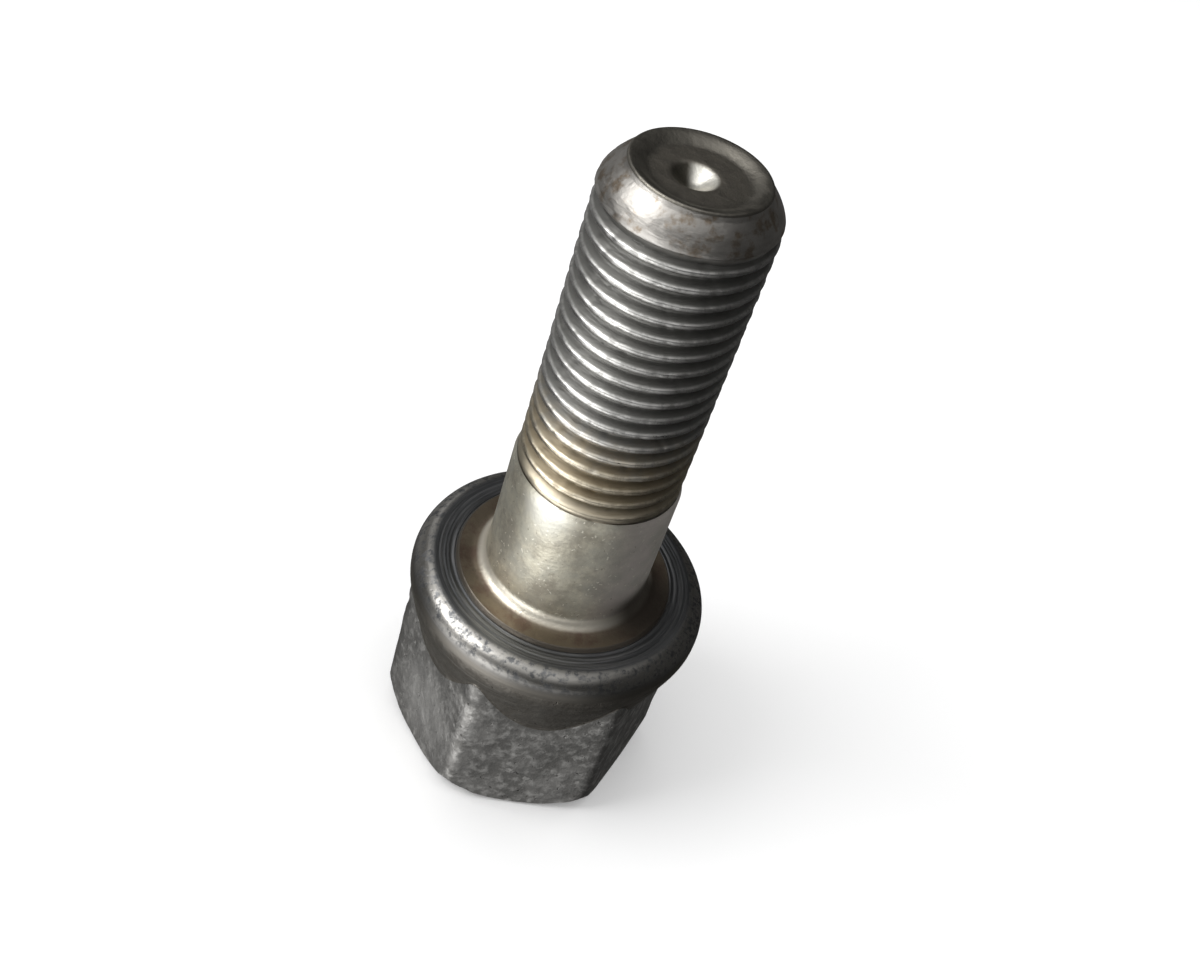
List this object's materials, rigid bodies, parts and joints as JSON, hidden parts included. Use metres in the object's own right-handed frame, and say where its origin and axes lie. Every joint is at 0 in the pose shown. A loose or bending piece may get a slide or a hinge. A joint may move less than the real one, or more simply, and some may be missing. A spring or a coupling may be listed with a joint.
{
  "type": "wheel bolt",
  "caption": "Hexagon-head wheel bolt with a round flat-seat collar, a plain shank and a threaded end with a dished tip, for clamping a wheel to its hub.",
  "frame": {"origin": "centre of the head's flat end face, which the bolt stands on", "axes": "+Z along the bolt's axis from the head to the tip; two corners of the hexagon lie on the X axis"},
  "size_m": [0.0262, 0.0262, 0.0615],
  "materials": {
    "bolt_steel": "used steel: bare bright thread, yellow-passivated shank, dark scuffed head"
  },
  "bodies": {
    "root": {"wheel_bolt": "bolt_steel"}
  },
  "joints": []
}
